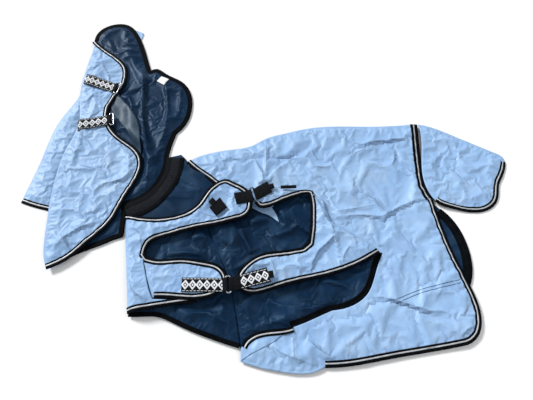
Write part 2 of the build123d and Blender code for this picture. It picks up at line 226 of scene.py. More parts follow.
def crumpled(p, free, seed, coarse, medium, fine, sizes=(150.0, 64.0, 27.0)):
    """Facets of three sizes, which fade out towards a held edge."""
    total = coarse * facets(p, sizes[0], seed)
    total += medium * facets(p, sizes[1], seed + 11)
    total += 0.9 * medium * ridges(p, sizes[1] * 1.25, seed + 37)
    total += fine * facets(p, sizes[2], seed + 23)
    total += 0.7 * fine * ridges(p, sizes[2] * 1.3, seed + 41)
    return total * (0.35 + 0.65 * step_up(free / 45.0))


def tucks(p, folds):
    """Sharp folds along lines: (height, slow width, steep width, points), steep on the line's right."""
    total = np.zeros(len(p))
    for height, slow, steep, points in folds:
        line = smooth_line(at(*points), 10)
        far, along = line_distance(p, line)
        close = far < 4 * max(slow, steep)
        at_k = np.clip((along * (len(line) - 1)).astype(int), 0, len(line) - 2)
        ab = line[at_k + 1] - line[at_k]
        ap = p - line[at_k]
        left = ab[:, 0] * ap[:, 1] - ab[:, 1] * ap[:, 0] > 0
        taper = np.clip(4 * along * (1 - along), 0, 1) ** 0.5
        total += np.where(close, height * taper * np.exp(-far / np.where(left, slow, steep)), 0.0)
    return total


def spots(p, middles, reach):
    """1 at each of a few middles, falling to 0 round them."""
    far = np.min([np.linalg.norm(p - c, axis=1) for c in middles], axis=0)
    return np.exp(-((far / reach) ** 2))


def outside_of(p, panel, reach):
    """0 inside a panel's outline, rising to 1 at reach outside it."""
    far = line_distance(p, panel.outline, True)[0]
    return np.where(inside(p, panel.outline), 0.0, step_up(far / reach))


# ---- cloth simulation ----
def settle(points, faces, held, low, grow, bend, frames):
    """The points of a cloth a little too big for its held edge, once it has buckled and come to rest."""
    plane = square("rest_plane", 1500, low, SHELL)
    plane.modifiers.new("Collision", "COLLISION")
    plane.collision.thickness_outer = 0.001
    plane.collision.cloth_friction = 20.0
    cloth = build("cloth_copy", points, faces.tolist(), SHELL)
    cloth.vertex_groups.new(name="held").add(held.tolist(), 1.0, "REPLACE")
    modifier = cloth.modifiers.new("Cloth", "CLOTH")
    values = modifier.settings
    values.quality = 5
    values.mass = 0.1
    values.air_damping = 5.0
    values.tension_stiffness = values.compression_stiffness = 25.0
    values.shear_stiffness = 12.0
    values.bending_stiffness = bend
    values.tension_damping = values.compression_damping = values.shear_damping = 10.0
    values.vertex_group_mass = "held"
    values.shrink_min = -grow
    modifier.collision_settings.distance_min = 0.001
    modifier.point_cache.frame_start = 1
    modifier.point_cache.frame_end = frames
    for count in range(1, frames + 1):
        bpy.context.scene.frame_set(count)
    shaped = cloth.evaluated_get(bpy.context.evaluated_depsgraph_get())
    co = np.array([v.co for v in shaped.data.vertices]) / MM
    for obj in (cloth, plane):
        bpy.data.objects.remove(obj)
    bpy.context.scene.frame_set(1)
    return co


# ---- cloth panels ----
class Panel:
    """One cloth panel: its outline, its height and its top surface.

    sim is how much it grows, how stiff its bends are, and for how many frames it moves.
    """

    def __init__(self, node, height, step=8.0, seed=1, pucker=0.0, sim=None, fine=0.0,
                 least=None, most=None, hold=11.0, folds=()):
        outline = top_loops(node)[0] if isinstance(node, str) else node
        coarse = resample(outline, 2 * step)
        low, high = coarse.min(0), coarse.max(0)
        rng = np.random.default_rng(seed)
        rows = np.arange(low[1], high[1], 1.732 * step)
        # Points inside are a grid of even triangles, each moved a little at random.
        along_x = np.arange(low[0], high[0], 2 * step)
        grid = [(x + (k % 2) * step, y) for k, y in enumerate(rows) for x in along_x]
        grid = np.array(grid) + rng.uniform(-0.28, 0.28, (len(grid), 2)) * step
        grid = grid[inside(grid, coarse)]
        grid = grid[line_distance(grid, coarse, True)[0] > 1.1 * step]
        points = np.concatenate([coarse, grid])
        verts, _, faces, *_ = delaunay_2d_cdt([Vector(v) for v in points], [], [list(range(len(coarse)))],
                                              1, 1e-5)
        xy, faces = split(np.array([tuple(v) for v in verts]), np.array([tuple(f) for f in faces]))
        self.outline = np.stack([coarse, (coarse + np.roll(coarse, -1, 0)) / 2], 1).reshape(-1, 2)
        edge, along = line_distance(xy, self.outline, True)
        z = height(xy, edge)
        if pucker:
            s = along * len(self.outline) * step
            wobble = np.sin(s / 6.2 + 2.5 * np.sin(s / 47.0 + seed))
            wobble = wobble * (0.55 + 0.45 * np.sin(s / 83.0 + 2 * seed))
            z = z + pucker * wobble * np.exp(-edge / 26.0) * step_up(edge / 12)
        points = np.column_stack([xy, z])
        least = least or (lambda p: np.full(len(p), z.min()))
        if sim:
            grow, bend, frames = sim
            points = settle(points, faces, np.flatnonzero(edge < hold), least(xy).min(), grow, bend, frames)
            points[:, 2] = np.maximum(points[:, 2], least(points[:, :2]))
            if most:
                points[:, 2] = np.minimum(points[:, 2], most(points[:, :2]))
        self.under = Surface(points, faces)
        points, faces = split(points, faces)
        edge = line_distance(points[:, :2], self.outline, True)[0]
        if fine:
            p = points[:, :2]
            small = facets(p, 24.0, seed + 200) + 0.8 * ridges(p, 31.0, seed + 300)
            points[:, 2] += fine * small * step_up(edge / 25.0)
        points[:, 2] = np.maximum(points[:, 2], least(points[:, :2]))
        self.upper = Surface(points, faces)
        # Each fold line pulls the crease value down towards -1, so the materials paint a dark line of shade
        # along it.
        for _, _, _, way in folds:
            far, along = line_distance(points[:, :2], smooth_line(at(*way), 10))
            fold_shade_mark = np.clip(4 * along * (1 - along), 0, 1) ** 0.5 * np.exp(-((far / 3.6) ** 2))
            self.upper.crease = np.minimum(self.upper.crease, np.where(fold_shade_mark > 0.05, -fold_shade_mark, 1.0))
        self.size = (high - low) * MM
        self.area = area_of(self.outline) * MM * MM
        self.tree = BVHTree.FromPolygons([Vector(v) for v in points], faces.tolist())

    def height_at(self, xy):
        """Height of the top surface, or of its nearest edge."""
        found = []
        for x, y in np.asarray(xy):
            hit = self.tree.ray_cast(Vector((x, y, 500)), Vector((0, 0, -1)))[0]
            if hit is None:
                hit = self.tree.find_nearest(Vector((x, y, 20)))[0]
            found.append(hit.z)
        return np.array(found)

    def cloth(self, name, below, thick, mat, fine=True):
        """A closed cloth, its top that far below the panel's top surface."""
        face = self.upper if fine else self.under
        if fine and below:
            # Wider apart inside the tapes, and only where the panel is clear of the floor.
            far = line_distance(face.points[:, :2], self.outline, True)[0]
            room = step_up((far - TAPE_WIDTH) / 14) * step_up((face.points[:, 2] - 4.5) / 6)
            below = (below + BEND_GAP * room)[:, None]
        count = len(face.points)
        faces = face.faces.tolist() + (face.faces[:, ::-1] + count).tolist()
        faces += [(b, a, a + count, b + count) for a, b in face.rim]
        top = face.points - face.drop * below
        obj = build(name, np.concatenate([top, top - face.drop * thick]), faces, mat)
        crease = obj.data.attributes.new("crease", "FLOAT", "POINT")
        crease.data.foreach_set("value", np.concatenate([face.crease, face.crease]))
        return obj

    def run(self, start, end):
        """The outline from near one point to near another, going counter-clockwise."""
        i, j = (int(np.linalg.norm(self.outline - at(p)[0], axis=1).argmin()) for p in (start, end))
        if j <= i:
            j += len(self.outline)
        return self.outline[np.arange(i, j + 1) % len(self.outline)]


class Surface:
    """A triangle mesh with its rim, the way down into its cloth, and how sharply it is creased."""

    def __init__(self, points, faces):
        self.points = points
        self.faces = faces
        a, b, c = (points[faces[:, k]] for k in range(3))
        flat = np.cross(b - a, c - a)
        normal, total, count = np.zeros_like(points), np.zeros(len(points)), np.zeros(len(points))
        for k in range(3):
            np.add.at(normal, faces[:, k], flat)
            for other in (faces[:, k - 1], faces[:, k - 2]):
                np.add.at(total, faces[:, k], points[other, 2])
                np.add.at(count, faces[:, k], 1)
        once = set()
        for f in faces.tolist():
            for i, j in zip(f, f[1:] + f[:1]):
                if (j, i) in once:
                    once.remove((j, i))
                else:
                    once.add((i, j))
        self.rim = sorted(once)
        normal /= np.linalg.norm(normal, axis=1)[:, None]
        self.drop = normal * np.array((0.8, 0.8, 1.0))
        rim = [i for i, _ in self.rim]
        self.drop[rim] = (0.0, 0.0, 1.0)
        # The crease value is how far a point stands above its neighbours; the materials paint it as shade
        # in valleys and highlight on ridges.
        self.crease = np.clip((points[:, 2] - total / count) / 1.3, -1, 1)
        self.crease[rim] = 0.0


def split(xy, faces):
    """Each triangle in four."""
    pairs = np.sort(np.concatenate([faces[:, [0, 1]], faces[:, [1, 2]], faces[:, [2, 0]]]), axis=1)
    unique, back = np.unique(pairs, axis=0, return_inverse=True)
    back = back.reshape(-1) + len(xy)
    ab, bc, ca = back.reshape(3, -1)
    a, b, c = faces.T
    parts = [(a, ab, ca), (ab, b, bc), (ca, bc, c), (ab, bc, ca)]
    return np.concatenate([xy, xy[unique].mean(1)]), np.concatenate([np.stack(t, 1) for t in parts])


def build(name, verts, faces, mat, uvs=None, smooth=True):
    """A mesh object from millimetre points. uvs holds one (along, across) in metres for each point."""
    mesh = bpy.data.meshes.new(name)
    mesh.from_pydata([tuple(v) for v in np.asarray(verts) * MM], [], faces)
    mesh.materials.append(mat)
    mesh.polygons.foreach_set("use_smooth", [smooth] * len(mesh.polygons))
    if uvs is not None:
        layer = mesh.uv_layers.new(name="UVMap")
        for loop in mesh.loops:
            layer.data[loop.index].uv = uvs[loop.vertex_index]
    mesh.update()
    obj = bpy.data.objects.new(name, mesh)
    bpy.context.scene.collection.objects.link(obj)
    return obj


def square(name, half, z, mat):
    """A flat square round the middle of the frame."""
    corners = [(x * half, y * half, z) for x, y in ((-1, -1), (1, -1), (1, 1), (-1, 1))]
    return build(name, corners, [(0, 1, 2, 3)], mat, smooth=False)


def inward(line):
    """Unit directions to the left of a line, longer at its corners."""
    along = np.gradient(line, axis=0)
    along /= np.linalg.norm(along, axis=1)[:, None]
    for _ in range(2):
        along[1:-1] = along[:-2] + 2 * along[1:-1] + along[2:]
        along /= np.linalg.norm(along, axis=1)[:, None]
    return np.column_stack([-along[:, 1], along[:, 0]])


def tube(name, rings, mat, uvs):
    """A closed skin through rings of points, with capped ends."""
    count = len(rings[0])
    verts = np.concatenate(rings)
    faces = []
    for i in range(len(rings) - 1):
        for k in range(count):
            a, b = i * count + k, i * count + (k + 1) % count
            faces.append((a, b, b + count, a + count))
    faces.append(tuple(reversed(range(count))))
    faces.append(tuple(range(len(verts) - count, len(verts))))
    return build(name, verts, faces, mat, uvs)


def beside(line, side, height_at, offs, lifts):
    """Columns of points beside a line, each as far off it and as high above a surface as told."""
    places = [line + side * off for off in offs]
    return [np.column_stack([xy, height_at(xy) + lift]) for xy, lift in zip(places, lifts)]


def binding(name, panel, line, mat, width=TAPE_WIDTH, thick=2.4):
    """A tape folded over a panel's edge: it lies on the top, turns round the edge and ends below."""
    line = even(line, TAPE_STEP)
    side = inward(line)
    length = lengths(line)
    inner, outer = (width + SILVER_WIDTH) / 2, (width - SILVER_WIDTH) / 2
    across = [width, width * 0.96, (width + inner) / 2, inner, width / 2, outer, outer / 2, 0.5]
    lift = [0.1, 1.1, 1.3, 1.35, 1.35, 1.4, 1.6, 1.6]
    columns = beside(line, side, panel.height_at, across, lift)
    edge_z = columns[-1][:, 2] - 1.6
    for out, up in ((2.2, 1.2), (3.2, -thick / 2), (2.2, -thick - 0.8)):
        columns.append(np.column_stack([line - side * out, np.maximum(edge_z + up, 0.3)]))
    for off in (width * 0.5, width * 0.95):
        xy = line + side * off
        columns.append(np.column_stack([xy, np.maximum(panel.height_at(xy) - thick - 1.2, 0.3)]))
    rings = [np.array(r) for r in zip(*columns)]
    place = across + [-2.2, -3.6, -5.0, -5.0 - width * 0.5, -5.0 - width]
    uvs = [(s * MM, v * MM) for s in length for v in place]
    return tube(name, rings, mat, uvs)


def ribbon(name, height_at, line, width, mat, lift=1.0, thick=0.8, start=0.0):
    """A flat tape that follows a surface, to the left of a line from start to start plus width."""
    line = even(line, TAPE_STEP)
    side = inward(line)
    length = lengths(line)
    offs = start + width * np.array([0.0, 0.04, 0.5, 0.96, 1.0])
    low = lift - 0.3
    columns = beside(line, side, height_at, [*offs, start + width, start],
                     (low, lift, lift, lift, low, lift - thick, lift - thick))
    rings = [np.array(r)[::-1] for r in zip(*columns)]
    place = [*(offs - start), width, 0.0][::-1]
    uvs = [(s * MM, v * MM) for s in length for v in place]
    return tube(name, rings, mat, uvs)


# ---- materials ----
class Nodes:
    """A short way to write a node material."""

    def __init__(self, name):
        self.mat = bpy.data.materials.new(name)
        self.mat.use_nodes = True
        self.tree = self.mat.node_tree
        self.bsdf = self.tree.nodes["Principled BSDF"]
        self.place = self.add("TexCoord").outputs["Object"]

    def add(self, kind, inputs=None, **settings):
        node = self.tree.nodes.new("ShaderNode" + kind)
        for key, value in settings.items():
            setattr(node, key, value)
        for key, value in (inputs or {}).items():
            self.put(node.inputs[key], value)
        return node

    def put(self, socket, value):
        if isinstance(value, bpy.types.NodeSocket):
            self.tree.links.new(value, socket)
        else:
            socket.default_value = value

    def math(self, operation, a, b=0.0, clamp=False):
        return self.add("Math", {0: a, 1: b}, operation=operation, use_clamp=clamp).outputs[0]

    def times(self, a, b, clamp=False):
        return self.math("MULTIPLY", a, b, clamp)

    def plus(self, a, b):
        return self.math("ADD", a, b)

    def near(self, a, b, reach):
        """1 where a is within reach of b."""
        return self.add("Math", {0: a, 1: b, 2: reach}, operation="COMPARE").outputs[0]

    def vector(self, operation, a, b=(0.0, 0.0, 0.0), **inputs):
        return self.add("VectorMath", {0: a, 1: b, **inputs}, operation=operation).outputs[0]

    def mix(self, factor, a, b):
        return self.add("Mix", {0: factor, 6: a, 7: b}, data_type="RGBA").outputs[2]

    def span(self, value, low, high, to_low=0.0, to_high=1.0):
        inputs = {"Value": value, "From Min": low, "From Max": high, "To Min": to_low, "To Max": to_high}
        return self.add("MapRange", inputs).outputs[0]

    def noise(self, scale, detail=3.0, rough=0.55, distortion=0.0):
        inputs = {"Vector": self.place, "Scale": scale, "Detail": detail, "Roughness": rough,
                  "Distortion": distortion}
        return self.add("TexNoise", inputs).outputs[0]

    def worn(self, scale, low, high):
        """Patches of wear, from 0 to 1."""
        return self.span(self.noise(scale, 4.0, 0.7), low, high)

    def cycle(self, value, per_metre):
        """Saw teeth from 0 to 1."""
        return self.math("FRACT", self.times(value, per_metre))

    def ridge(self, teeth):
        """Saw teeth turned into even ones, from 0 to a half."""
        return self.math("ABSOLUTE", self.math("SUBTRACT", teeth, 0.5))

    def tape_place(self):
        """A tape's own coordinates: both together, along it, and across it."""
        uv = self.add("UVMap").outputs[0]
        parts = self.add("SeparateXYZ", {0: uv})
        return uv, parts.outputs[0], parts.outputs[1]

    def bump(self, height, strength, distance, normal=None):
        inputs = {"Height": height, "Strength": strength, "Distance": distance}
        if normal is not None:
            inputs["Normal"] = normal
        return self.add("Bump", inputs).outputs[0]

    def shade(self, color, rough, normal=None, **constants):
        self.put(self.bsdf.inputs["Base Color"], color)
        self.put(self.bsdf.inputs["Roughness"], rough)
        if normal is not None:
            self.put(self.bsdf.inputs["Normal"], normal)
        for key, value in constants.items():
            self.bsdf.inputs[key.replace("_", " ")].default_value = value
        return self.mat


def rgb(r, g, b):
    """A picture colour from 0 to 255, as linear light."""
    shares = (c / 255 for c in (r, g, b))
    return tuple(c / 12.92 if c < 0.0405 else ((c + 0.055) / 1.055) ** 2.4 for c in shares) + (1.0,)


def crinkle(n, scale, shift):
    """Fine sharp creases: (mask of thin lines, which the shell paints darker as crease shade, height)."""
    warp = n.add("TexNoise", {"Vector": n.place, "Scale": scale * 0.5, "Detail": 2.0}).outputs[1]
    spread = n.vector("SCALE", warp, Scale=0.3 / scale)
    shifted = n.vector("ADD", n.vector("ADD", n.place, spread), (shift, shift * 0.7, 0.0))
    flat = n.vector("MULTIPLY", shifted, (1.0, 1.0, 0.15))
    edge = n.add("TexVoronoi", {"Vector": flat, "Scale": scale}, feature="DISTANCE_TO_EDGE").outputs[0]
    patch = n.span(n.noise(scale * 0.35, 1.0), 0.47, 0.62)
    line = n.times(n.span(edge, 0.0, 0.022, 1.0, 0.0), patch, clamp=True)
    return line, edge


def weave(n, pitch):
    """Plain weave: threads up and down, as a height."""
    inputs = {"Vector": n.place, "Scale": 0.159 / pitch, "Distortion": 0.3}
    one, two = (n.add("TexWave", inputs, bands_direction=way).outputs[1] for way in "XY")
    return n.times(one, two)


def shell_material():
    n = Nodes("light_blue_coated_nylon")
    crease_shade_a, edge_a = crinkle(n, 11.0, 3.1)
    crease_shade_b, edge_b = crinkle(n, 27.0, 8.4)
    tone = n.span(n.noise(5.0, 4.0), 0.3, 0.7)
    base = n.mix(tone, rgb(131, 167, 210), rgb(150, 185, 223))
    # Painted shading: random warm-grey patches stand in for the beige-grey tint the creased shell takes on
    # under the light.
    shading_tint = n.span(n.noise(4.0, 5.0, 0.7), 0.55, 0.72)
    base = n.mix(n.times(shading_tint, 0.25), base, rgb(160, 172, 184))
    # Painted highlights: random paler patches stand in for the whitish sheen on the shell's facets.
    highlight_patches = n.span(n.noise(16.0, 5.0, 0.65), 0.52, 0.75)
    base = n.mix(n.times(highlight_patches, 0.35), base, rgb(169, 197, 227))
    # Painted shade: thin dark grey lines along the fine creases.
    lines = n.math("MAXIMUM", n.times(crease_shade_a, 0.12), n.times(crease_shade_b, 0.18))
    base = n.mix(lines, base, rgb(112, 122, 138))
    # Painted light and shade from the bending cloth: valleys are painted darker as shade, sharp ridges
    # paler as highlight.
    crease = n.add("Attribute", attribute_name="crease").outputs[2]
    valley_shade = n.span(crease, -0.3, -1.0, 0.0, 0.7)
    ridge = n.span(crease, 0.35, 1.0, 0.0, 0.35)
    base = n.mix(valley_shade, base, rgb(84, 101, 128))
    base = n.mix(ridge, base, rgb(193, 202, 211))
    fine = n.noise(70.0, 4.0, 0.7)
    height = n.plus(n.times(edge_a, 0.5), n.times(edge_b, 0.22))
    height = n.plus(height, n.times(fine, 0.10))
    normal = n.bump(height, 0.55, 0.006)
    normal = n.bump(weave(n, 0.0014), 0.08, 0.0004, normal)
    rough = n.span(n.noise(9.0, 3.0), 0.3, 0.7, 0.46, 0.58)
    return n.shade(base, rough, normal, Specular_IOR_Level=0.42)


def lining_material():
    n = Nodes("navy_nylon_lining")
    tone = n.span(n.noise(7.0, 4.0), 0.3, 0.7)
    base = n.mix(tone, rgb(6, 28, 52), rgb(15, 43, 72))
    # Painted reflection: paler patches stand in for the broad sheen of the shiny nylon.
    painted_sheen = n.span(n.noise(8.0, 3.0, 0.55, 0.6), 0.5, 0.72)
    base = n.mix(n.times(painted_sheen, 0.6), base, rgb(47, 72, 99))
    edge = crinkle(n, 20.0, 5.2)[1]
    crease = n.add("Attribute", attribute_name="crease").outputs[2]
    # Painted light and shade: valleys of the cloth darker as shade, ridges paler as highlight.
    base = n.mix(n.span(crease, -0.2, -1.0, 0.0, 0.75), base, rgb(5, 14, 26))
    base = n.mix(n.span(crease, 0.2, 1.0, 0.0, 0.35), base, rgb(46, 68, 92))
    fine = n.noise(60.0, 4.0, 0.7)
    height = n.plus(n.times(edge, 0.12), n.times(fine, 0.08))
    normal = n.bump(height, 0.35, 0.005)
    normal = n.bump(weave(n, 0.0012), 0.1, 0.0004, normal)
    rough = n.span(n.noise(12.0, 3.0), 0.3, 0.7, 0.42, 0.5)
    return n.shade(base, rough, normal, Specular_IOR_Level=0.19, Specular_Tint=(0.42, 0.7, 1.0, 1.0))


def tape_material():
    """Black binding: ribs across, and a row of stitches near its inner edge."""
    n = Nodes("black_binding_tape")
    uv, along, across = n.tape_place()
    ribs = n.add("TexWave", {"Vector": uv, "Scale": 95.0, "Distortion": 0.5},
                 bands_direction="X").outputs[1]
    worn = n.worn(40.0, 0.4, 0.8)
    base = n.mix(worn, rgb(2, 4, 7), rgb(11, 14, 19))
    seam = n.near(across, 0.0165, 0.0007)
    dash = n.math("GREATER_THAN", n.cycle(along, 290.0), 0.35)
    stitch = n.times(seam, dash)
    base = n.mix(n.times(stitch, 0.8), base, rgb(26, 29, 35))
    height = n.plus(n.times(ribs, 0.5), stitch)
    normal = n.bump(height, 0.5, 0.0006)
    return n.shade(base, 0.75, normal, Specular_IOR_Level=0.05)


def silver_material():
    n = Nodes("silver_reflective_tape")
    uv = n.add("UVMap").outputs[0]
    cells = n.add("TexVoronoi", {"Vector": uv, "Scale": 420.0}, feature="F1").outputs[0]
    worn = n.worn(55.0, 0.35, 0.75)
    base = n.mix(worn, rgb(196, 200, 204), rgb(150, 155, 161))
    normal = n.bump(cells, 0.25, 0.0004)
    return n.shade(base, 0.42, normal, Metallic=0.15, Specular_IOR_Level=0.7)


def webbing_material(name, light, dark, worn_scale=30.0):
    """Woven strap: herringbone ribs along its length."""
    n = Nodes(name)
    _, along, across = n.tape_place()
    phase = n.plus(n.times(along, 420.0), n.times(n.ridge(n.cycle(across, 95.0)), 3.0))
    rib = n.ridge(n.math("FRACT", phase))
    worn = n.worn(worn_scale, 0.35, 0.75)
    base = n.mix(worn, dark, light)
    normal = n.bump(rib, 0.5, 0.0008)
    return n.shade(base, 0.75, normal, Specular_IOR_Level=0.1)


def touch_material(name, light, dark):
    """Touch tape: a dense fuzzy pile."""
    n = Nodes(name)
    pile = n.noise(420.0, 3.0, 0.8)
    tufts = n.noise(120.0, 3.0, 0.7)
    base = n.mix(n.span(tufts, 0.35, 0.7), dark, light)
    normal = n.bump(n.plus(pile, tufts), 0.7, 0.0012)
    return n.shade(base, 0.9, normal, Specular_IOR_Level=0.08, Sheen_Weight=0.03, Sheen_Roughness=0.6)


def label_strap_material():
    """Black webbing with a generic woven border and a row of bars and lozenges."""
    n = Nodes("patterned_label_webbing")
    uv, along, across = n.tape_place()
    off_middle = n.math("ABSOLUTE", across)
    reach = n.plus(n.times(n.ridge(n.cycle(along, 42.0)), 0.030), off_middle)
    outer = n.math("LESS_THAN", reach, 0.0168)
    hole = n.math("LESS_THAN", reach, 0.0088)
    core = n.math("LESS_THAN", reach, 0.0046)
    shape = n.plus(n.math("SUBTRACT", outer, hole), core)
    border = n.near(off_middle, 0.0196, 0.0009)
    dash = n.math("GREATER_THAN", n.cycle(along, 84.0), 0.3)
    shape = n.math("MAXIMUM", shape, n.times(border, dash))
    worn = n.worn(60.0, 0.35, 0.75)
    black = n.mix(worn, rgb(4, 6, 9), rgb(16, 19, 24))
    white = n.mix(worn, rgb(232, 235, 238), rgb(196, 200, 205))
    base = n.mix(shape, black, white)
    rib = n.add("TexWave", {"Vector": uv, "Scale": 70.0, "Distortion": 0.3}, bands_direction="X").outputs[1]
    height = n.plus(n.times(rib, 0.5), n.times(shape, 0.6))
    normal = n.bump(height, 0.5, 0.0006)
    return n.shade(base, 0.7, normal, Specular_IOR_Level=0.12)


def care_label_material():
    n = Nodes("white_satin_label")
    tone = n.noise(90.0, 3.0)
    base = n.mix(tone, rgb(228, 234, 238), rgb(246, 249, 250))
    normal = n.bump(weave(n, 0.0008), 0.2, 0.0003)
    return n.shade(base, 0.5, normal, Sheen_Weight=0.1, Sheen_Roughness=0.4)


def fold_highlight_material():
    """A paler strip laid on the neck cover's lining: a painted highlight where a fold of the lining catches
    the light.
    """
    n = Nodes("lining_fold_painted_highlight")
    tone = n.span(n.noise(22.0, 4.0, 0.6), 0.3, 0.7)
    base = n.mix(tone, rgb(26, 43, 61), rgb(58, 77, 95))
    normal = n.bump(n.noise(30.0, 3.0, 0.6), 0.25, 0.004)
    normal = n.bump(weave(n, 0.001), 0.1, 0.0003, normal)
    return n.shade(base, 0.48, normal, Specular_IOR_Level=0.3, Specular_Tint=(0.75, 0.9, 1.0, 1.0))


def wire_material(name, dark, light, **constants):
    """Scratched wire. It is bright metal, or metal under a dark coat."""
    n = Nodes(name)
    scratches = n.noise(300.0, 4.0, 0.7, 1.5)
    rough = n.span(scratches, 0.3, 0.7, 0.14, 0.3) if "Metallic" in constants else 0.4
    return n.shade(n.mix(scratches, dark, light), rough, n.bump(scratches, 0.1, 0.0003), **constants)


def floor_material():
    n = Nodes("pale_floor")
    tone = n.noise(3.0, 2.0)
    base = n.mix(tone, rgb(240, 240, 240), rgb(244, 244, 244))
    return n.shade(base, 0.8)


SHELL = shell_material()
LINING = lining_material()
TAPE = tape_material()
SILVER = silver_material()
THREAD = webbing_material("dark_blue_thread", rgb(52, 70, 98), rgb(24, 36, 56), 60.0)
WEBBING = webbing_material("black_webbing", rgb(16, 18, 22), rgb(5, 7, 10))
TOUCH = touch_material("black_touch_tape", rgb(17, 20, 25), rgb(5, 7, 10))
# The loop pile's dark colour is partly its own near-black and partly painted shadow of the neck cover over
# the withers.
LOOP_PILE = touch_material("grey_loop_pile", rgb(26, 30, 36), rgb(14, 17, 22))
LABEL_STRAP = label_strap_material()
CARE = care_label_material()
FOLD_HIGHLIGHT = fold_highlight_material()
METAL = wire_material("polished_wire", rgb(196, 198, 202), rgb(232, 233, 235), Metallic=1.0)
DARK_WIRE = wire_material("dark_coated_wire", rgb(22, 24, 28), rgb(48, 51, 56), Specular_IOR_Level=0.4)

# ---- heights of the panels ----
CLOSURES = at((-118, -459), (-41, -138), (-165, -190))

NEAR_TUCKS = [
    (6, 26, 5, [(-5, -75), (-10, -35), (-25, -5), (-40, 30)]),
    (7, 5, 24, [(5, -65), (35, -35), (55, -10), (95, 15)]),
    (4, 14, 14, [(5, -50), (5, 45), (5, 110)]),
    (6.5, 20, 4, [(320, 125), (365, 90), (410, 100), (475, 110), (545, 120)]),
    (5, 4, 22, [(295, -5), (330, 45), (370, 65), (420, 95)]),
    (4, 4, 16, [(495, 70), (490, 25), (470, -5)]),
    (3.5, 16, 4, [(165, -5), (205, -10), (255, -5)]),
    (4.5, 20, 5, [(225, -200), (310, -180), (385, -165), (415, -160)]),
    (6.5, 24, 5, [(235, -215), (335, -205), (410, -210), (440, -195), (500, -165), (575, -135)]),
    (6, 4, 18, [(345, -135), (360, -120), (405, -150), (425, -185)]),
    (5, 12, 4, [(385, -135), (410, -170), (435, -195)]),
    (4, 14, 5, [(175, 80), (185, 45), (205, 20)]),
    (7, 5, 26, [(605, -560), (575, -540), (535, -540), (500, -530), (440, -510), (375, -495),
                      (315, -495)]),
    (4.5, 20, 5, [(90, -600), (90, -670), (100, -700)]),
    (4.5, 5, 18, [(130, -620), (170, -655), (210, -680)]),
    (3.5, 8, 4, [(260, -655), (255, -690)]),
    (5, 12, 4, [(615, -620), (640, -595), (670, -585)]),
    (5, 18, 6, [(20, -640), (60, -670), (150, -700)]),
]
BACK_TUCKS = [
    (9, 26, 8, [(-88, -255), (-75, -290), (-50, -345)]),
    (8, 10, 26, [(-120, -230), (-103, -285), (-120, -320)]),
    (8, 22, 10, [(-255, -295), (-210, -285), (-140, -320)]),
    (9, 24, 12, [(-55, -240), (10, -215), (85, -205)]),
    (8, 12, 30, [(10, -285), (85, -260), (120, -230)]),
    (10, 34, 6, [(70, -200), (130, -250), (185, -300)]),
    (6, 20, 8, [(-330, -350), (-270, -345), (-200, -350)]),
    (6, 26, 12, [(-280, -560), (-190, -545), (-90, -590)]),
    (7, 12, 28, [(5, -505), (110, -530), (250, -500)]),
    (6, 26, 12, [(-60, -610), (10, -575), (130, -560)]),
    (5, 14, 8, [(180, -440), (240, -450), (290, -470)]),
]


def near_height(p, edge):
    z = 9.6 + 6.5 * step_up(edge / 80.0) + crumpled(p, edge, 3, 4.5, 2.2, 0.5)
    z += tucks(p, NEAR_TUCKS) * step_up(edge / 30)
    return np.maximum(z, near_least(p))


def near_least(p):
    over_back = 1 - np.minimum(outside_of(p, back_left, 50), outside_of(p, back_right, 50))
    return 8.9 + 4.3 * over_back


WITHERS_TUCKS = [
    (6, 20, 6, [(-330, -30), (-300, -62), (-250, -88)]),
    (6, 6, 18, [(-355, -70), (-300, -100), (-235, -100)]),
    (5, 16, 6, [(-390, -135), (-330, -130), (-260, -132)]),
]


def far_height(p, edge):
    shown = step_up((-130 - p[:, 0]) / 60) * step_up(edge / 40)
    folds = 4.0 + 3.5 * swell(p, 120, 7) + 2.0 * facets(p, 60, 9) + tucks(p, WITHERS_TUCKS)
    return 5.2 + shown * np.clip(folds, 0, 14)


def back_clear(p):
    """0 where something lies on the back layer or turns down on to it, 1 where it is free."""
    clear = outside_of(p, near_cut, 22)
    for fold in (LEFT_FOLD, RIGHT_FOLD):
        clear = clear * step_up((from_line(p, fold) - 12) / 30)
    return clear


def back_height(p, edge):
    folds = 2.5 + 6.0 * swell(p, 120, 5) + 1.5 * facets(p, 80, 15) + 2.2 * tucks(p, BACK_TUCKS)
    return np.clip(9.8 + step_up(edge / 40) * back_clear(p) * folds, 8.8, 27.0)


def back_most(p):
    return 10.0 + 17.0 * back_clear(p)


def folded_height(p, fold, seed, free_runs, folds):
    """The front layer: it turns down round a fold along one side, and its bound edges sink a little."""
    base, top, reach = 12.0, 39.0, 38.0
    free = np.min([from_line(p, run) for run in free_runs], axis=0)
    held = spots(p, CLOSURES, 85.0)
    loose = 1 - held
    z = top + 4.0 * held - 9.0 * np.exp(-free / 26.0) * loose
    crumple = crumpled(p, free, seed, 3.0, 2.0, 0.5, (120.0, 56.0, 25.0))
    z += loose * (crumple + tucks(p, folds) * step_up(free / 25))
    round_off = np.sqrt(np.clip(1 - (1 - np.clip(from_line(p, fold) / reach, 0, 1)) ** 2, 0, 1))
    limit = top + 4.0 + 5.0 * loose**3
    return base + (np.minimum(z, limit) - base) * (0.12 + 0.88 * round_off)


